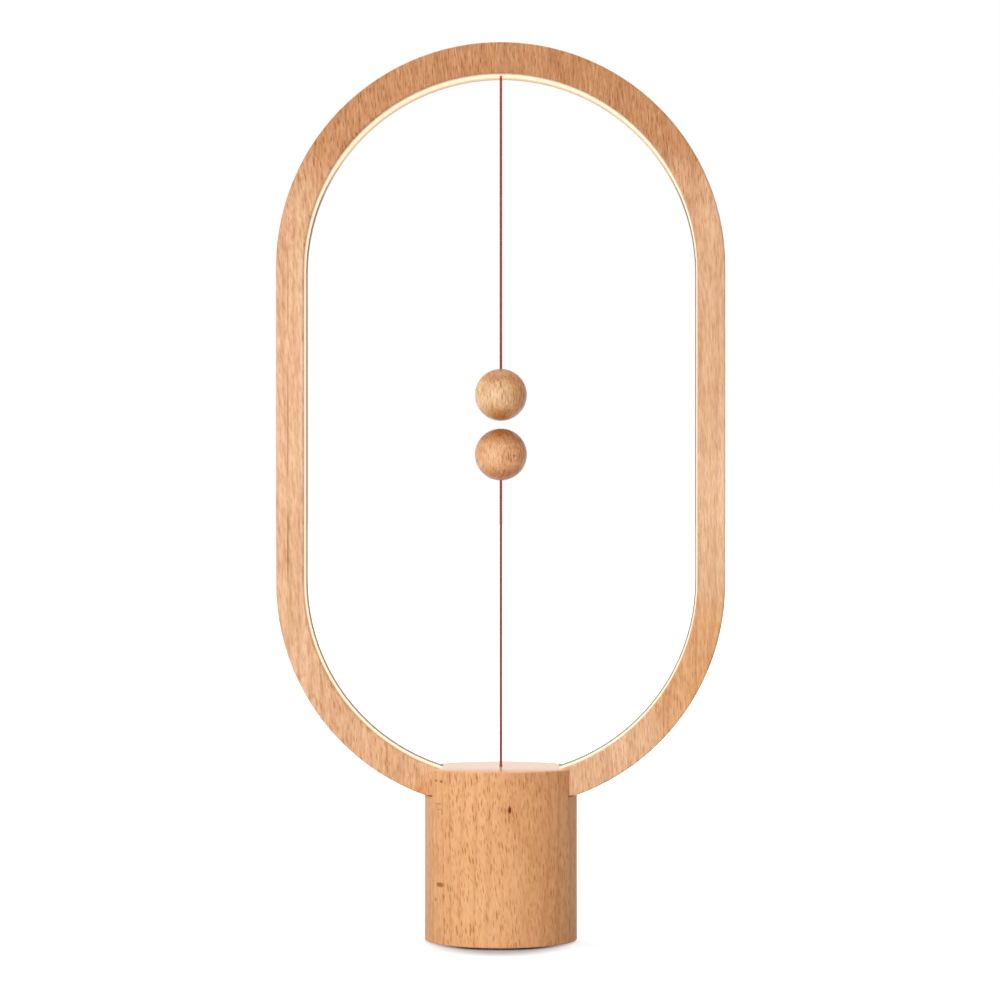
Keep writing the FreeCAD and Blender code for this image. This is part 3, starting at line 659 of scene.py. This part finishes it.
finishes = {
    "ring_beech": ring_beech(),
    "base_beech": base_beech(),
    "upper_ball_beech": upper_ball_beech(),
    "lower_ball_beech": lower_ball_beech(),
    "opal_plastic": opal(),
    "led_tape": plastic("light tape", tone(226, 222, 208), tone(206, 198, 176), 0.38),
    "led_chip": chip_yellow(),
    "brass": metal("turned brass", tone(214, 178, 104), tone(158, 120, 60), 0.24),
    "red_cord": red_cord(),
    "magnet_plate": metal("nickel plate", tone(206, 206, 204), tone(150, 148, 144), 0.16, (1.5, 1.5, 1.5)),
    "steel": metal("zinc steel", tone(190, 192, 194), tone(128, 130, 132), 0.26, (1.0, 1.0, 0.2)),
    "white_plastic": plastic("white plastic", tone(236, 235, 230), tone(214, 211, 202), 0.42),
    "black_plastic": plastic("black plastic", tone(28, 28, 30), tone(46, 46, 48), 0.48),
    "pale_plastic": plastic("acetal", tone(232, 228, 214), tone(212, 206, 188), 0.36),
    "board_green": board(),
    "dark_iron": metal("cast iron", tone(82, 80, 80), tone(52, 48, 46), 0.52, (0.8, 0.8, 0.8)),
    "aluminium_can": metal("aluminium can", tone(204, 206, 208), tone(160, 162, 166), 0.22, (0.2, 0.2, 6.0)),
    "pad_rubber": plastic("foot pad rubber", tone(40, 38, 38), tone(62, 58, 56), 0.86, 0.5, 0.12),
    "wire_red": plastic("red wire", tone(168, 36, 34), tone(130, 26, 26), 0.40, 0.3, 0.01),
    "wire_white": plastic("white wire", tone(228, 226, 220), tone(200, 196, 186), 0.42, 0.3, 0.01),
}

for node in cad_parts.values():
    for material_slot in node.material_slots:
        slot_name = material_slot.material.name
        if slot_name in finishes:
            material_slot.material = finishes[slot_name]
for cord in (upper_cord, lower_cord):
    cord.data.materials.clear()
    cord.data.materials.append(finishes["red_cord"])


# Floor, world and lights
floor_half = 20.0
# The floor's white glow is left out in an oval in front of the base, which paints the shape of the base's
# shadow; the floor's real shading shows inside it
painted_shadow_middle = (0.0, -18.0, 0.0)
painted_shadow_shape = (1.35, 1.0, 0.0)
painted_shadow_edge = (18.0, 47.0)
shadow_glow = 0.62
floor_fade = (40.0, 400.0)
far_glow = 0.40
room_light = 0.47


def add_floor():
    deselect_all()
    bpy.ops.mesh.primitive_plane_add(size=2 * floor_half, location=(0.0, 0.0, 0.0))
    floor = bpy.context.view_layer.objects.active
    floor.name = "floor"
    paint = Finish("floor paint")
    # Painted shadow: the glow fades out in the oval in front of the base
    here = paint.vector("SUBTRACT", paint.place(), painted_shadow_middle)
    away = paint.vector("LENGTH", paint.vector("MULTIPLY", here, painted_shadow_shape), output="Value")
    near = paint.step(away, *painted_shadow_edge, 0.0, shadow_glow)
    glow = near + paint.step(away, *floor_fade, 0.0, far_glow)
    speck = paint.noise(paint.place((3.0, 3.0, 3.0)))
    colour = paint.mix(speck, tone(207, 214, 222), tone(211, 218, 225))
    diffuse = paint.node("ShaderNodeBsdfDiffuse", {}, {"Color": colour})
    white = {"Color": (1.0, 1.0, 1.0, 1.0), "Strength": paint.seen_background() * glow}
    both = paint.node("ShaderNodeAddShader", {}, {0: diffuse, 1: paint.node("ShaderNodeEmission", {}, white)})
    paint.node("ShaderNodeOutputMaterial", {}, {"Surface": both})
    floor.data.materials.append(paint.material)


def add_world(ambient):
    scene.world = bpy.data.worlds.new("studio")
    studio = Shading(scene.world)
    seen = studio.seen_background()
    strength = ambient + seen * (1.0 - ambient)
    room = {"Color": (1.0, 1.0, 1.0, 1.0), "Strength": strength}
    studio.node("ShaderNodeOutputWorld", {}, {"Surface": studio.node("ShaderNodeBackground", {}, room)})


def add_soft_light(name, place, target, size, power, colour):
    lamp = bpy.data.lights.new(name, "AREA")
    lamp.shape = "RECTANGLE"
    lamp.size, lamp.size_y = size
    lamp.energy = power
    lamp.color = colour
    holder = add_to_scene(name, lamp)
    holder.location = place
    aim = Vector(target) - Vector(place)
    holder.rotation_euler = aim.to_track_quat("-Z", "Y").to_euler()


add_floor()
add_world(room_light)
add_soft_light("key", place=(-0.56, -1.40, 0.26), target=(0.0, 0.0, 0.22), size=(0.7, 0.9), power=16.0,
               colour=(1.0, 0.98, 0.95))
add_soft_light("top", place=(0.0, 0.25, 1.5), target=(0.0, 0.0, 0.1), size=(0.7, 0.7), power=9.0,
               colour=(1.0, 1.0, 1.0))
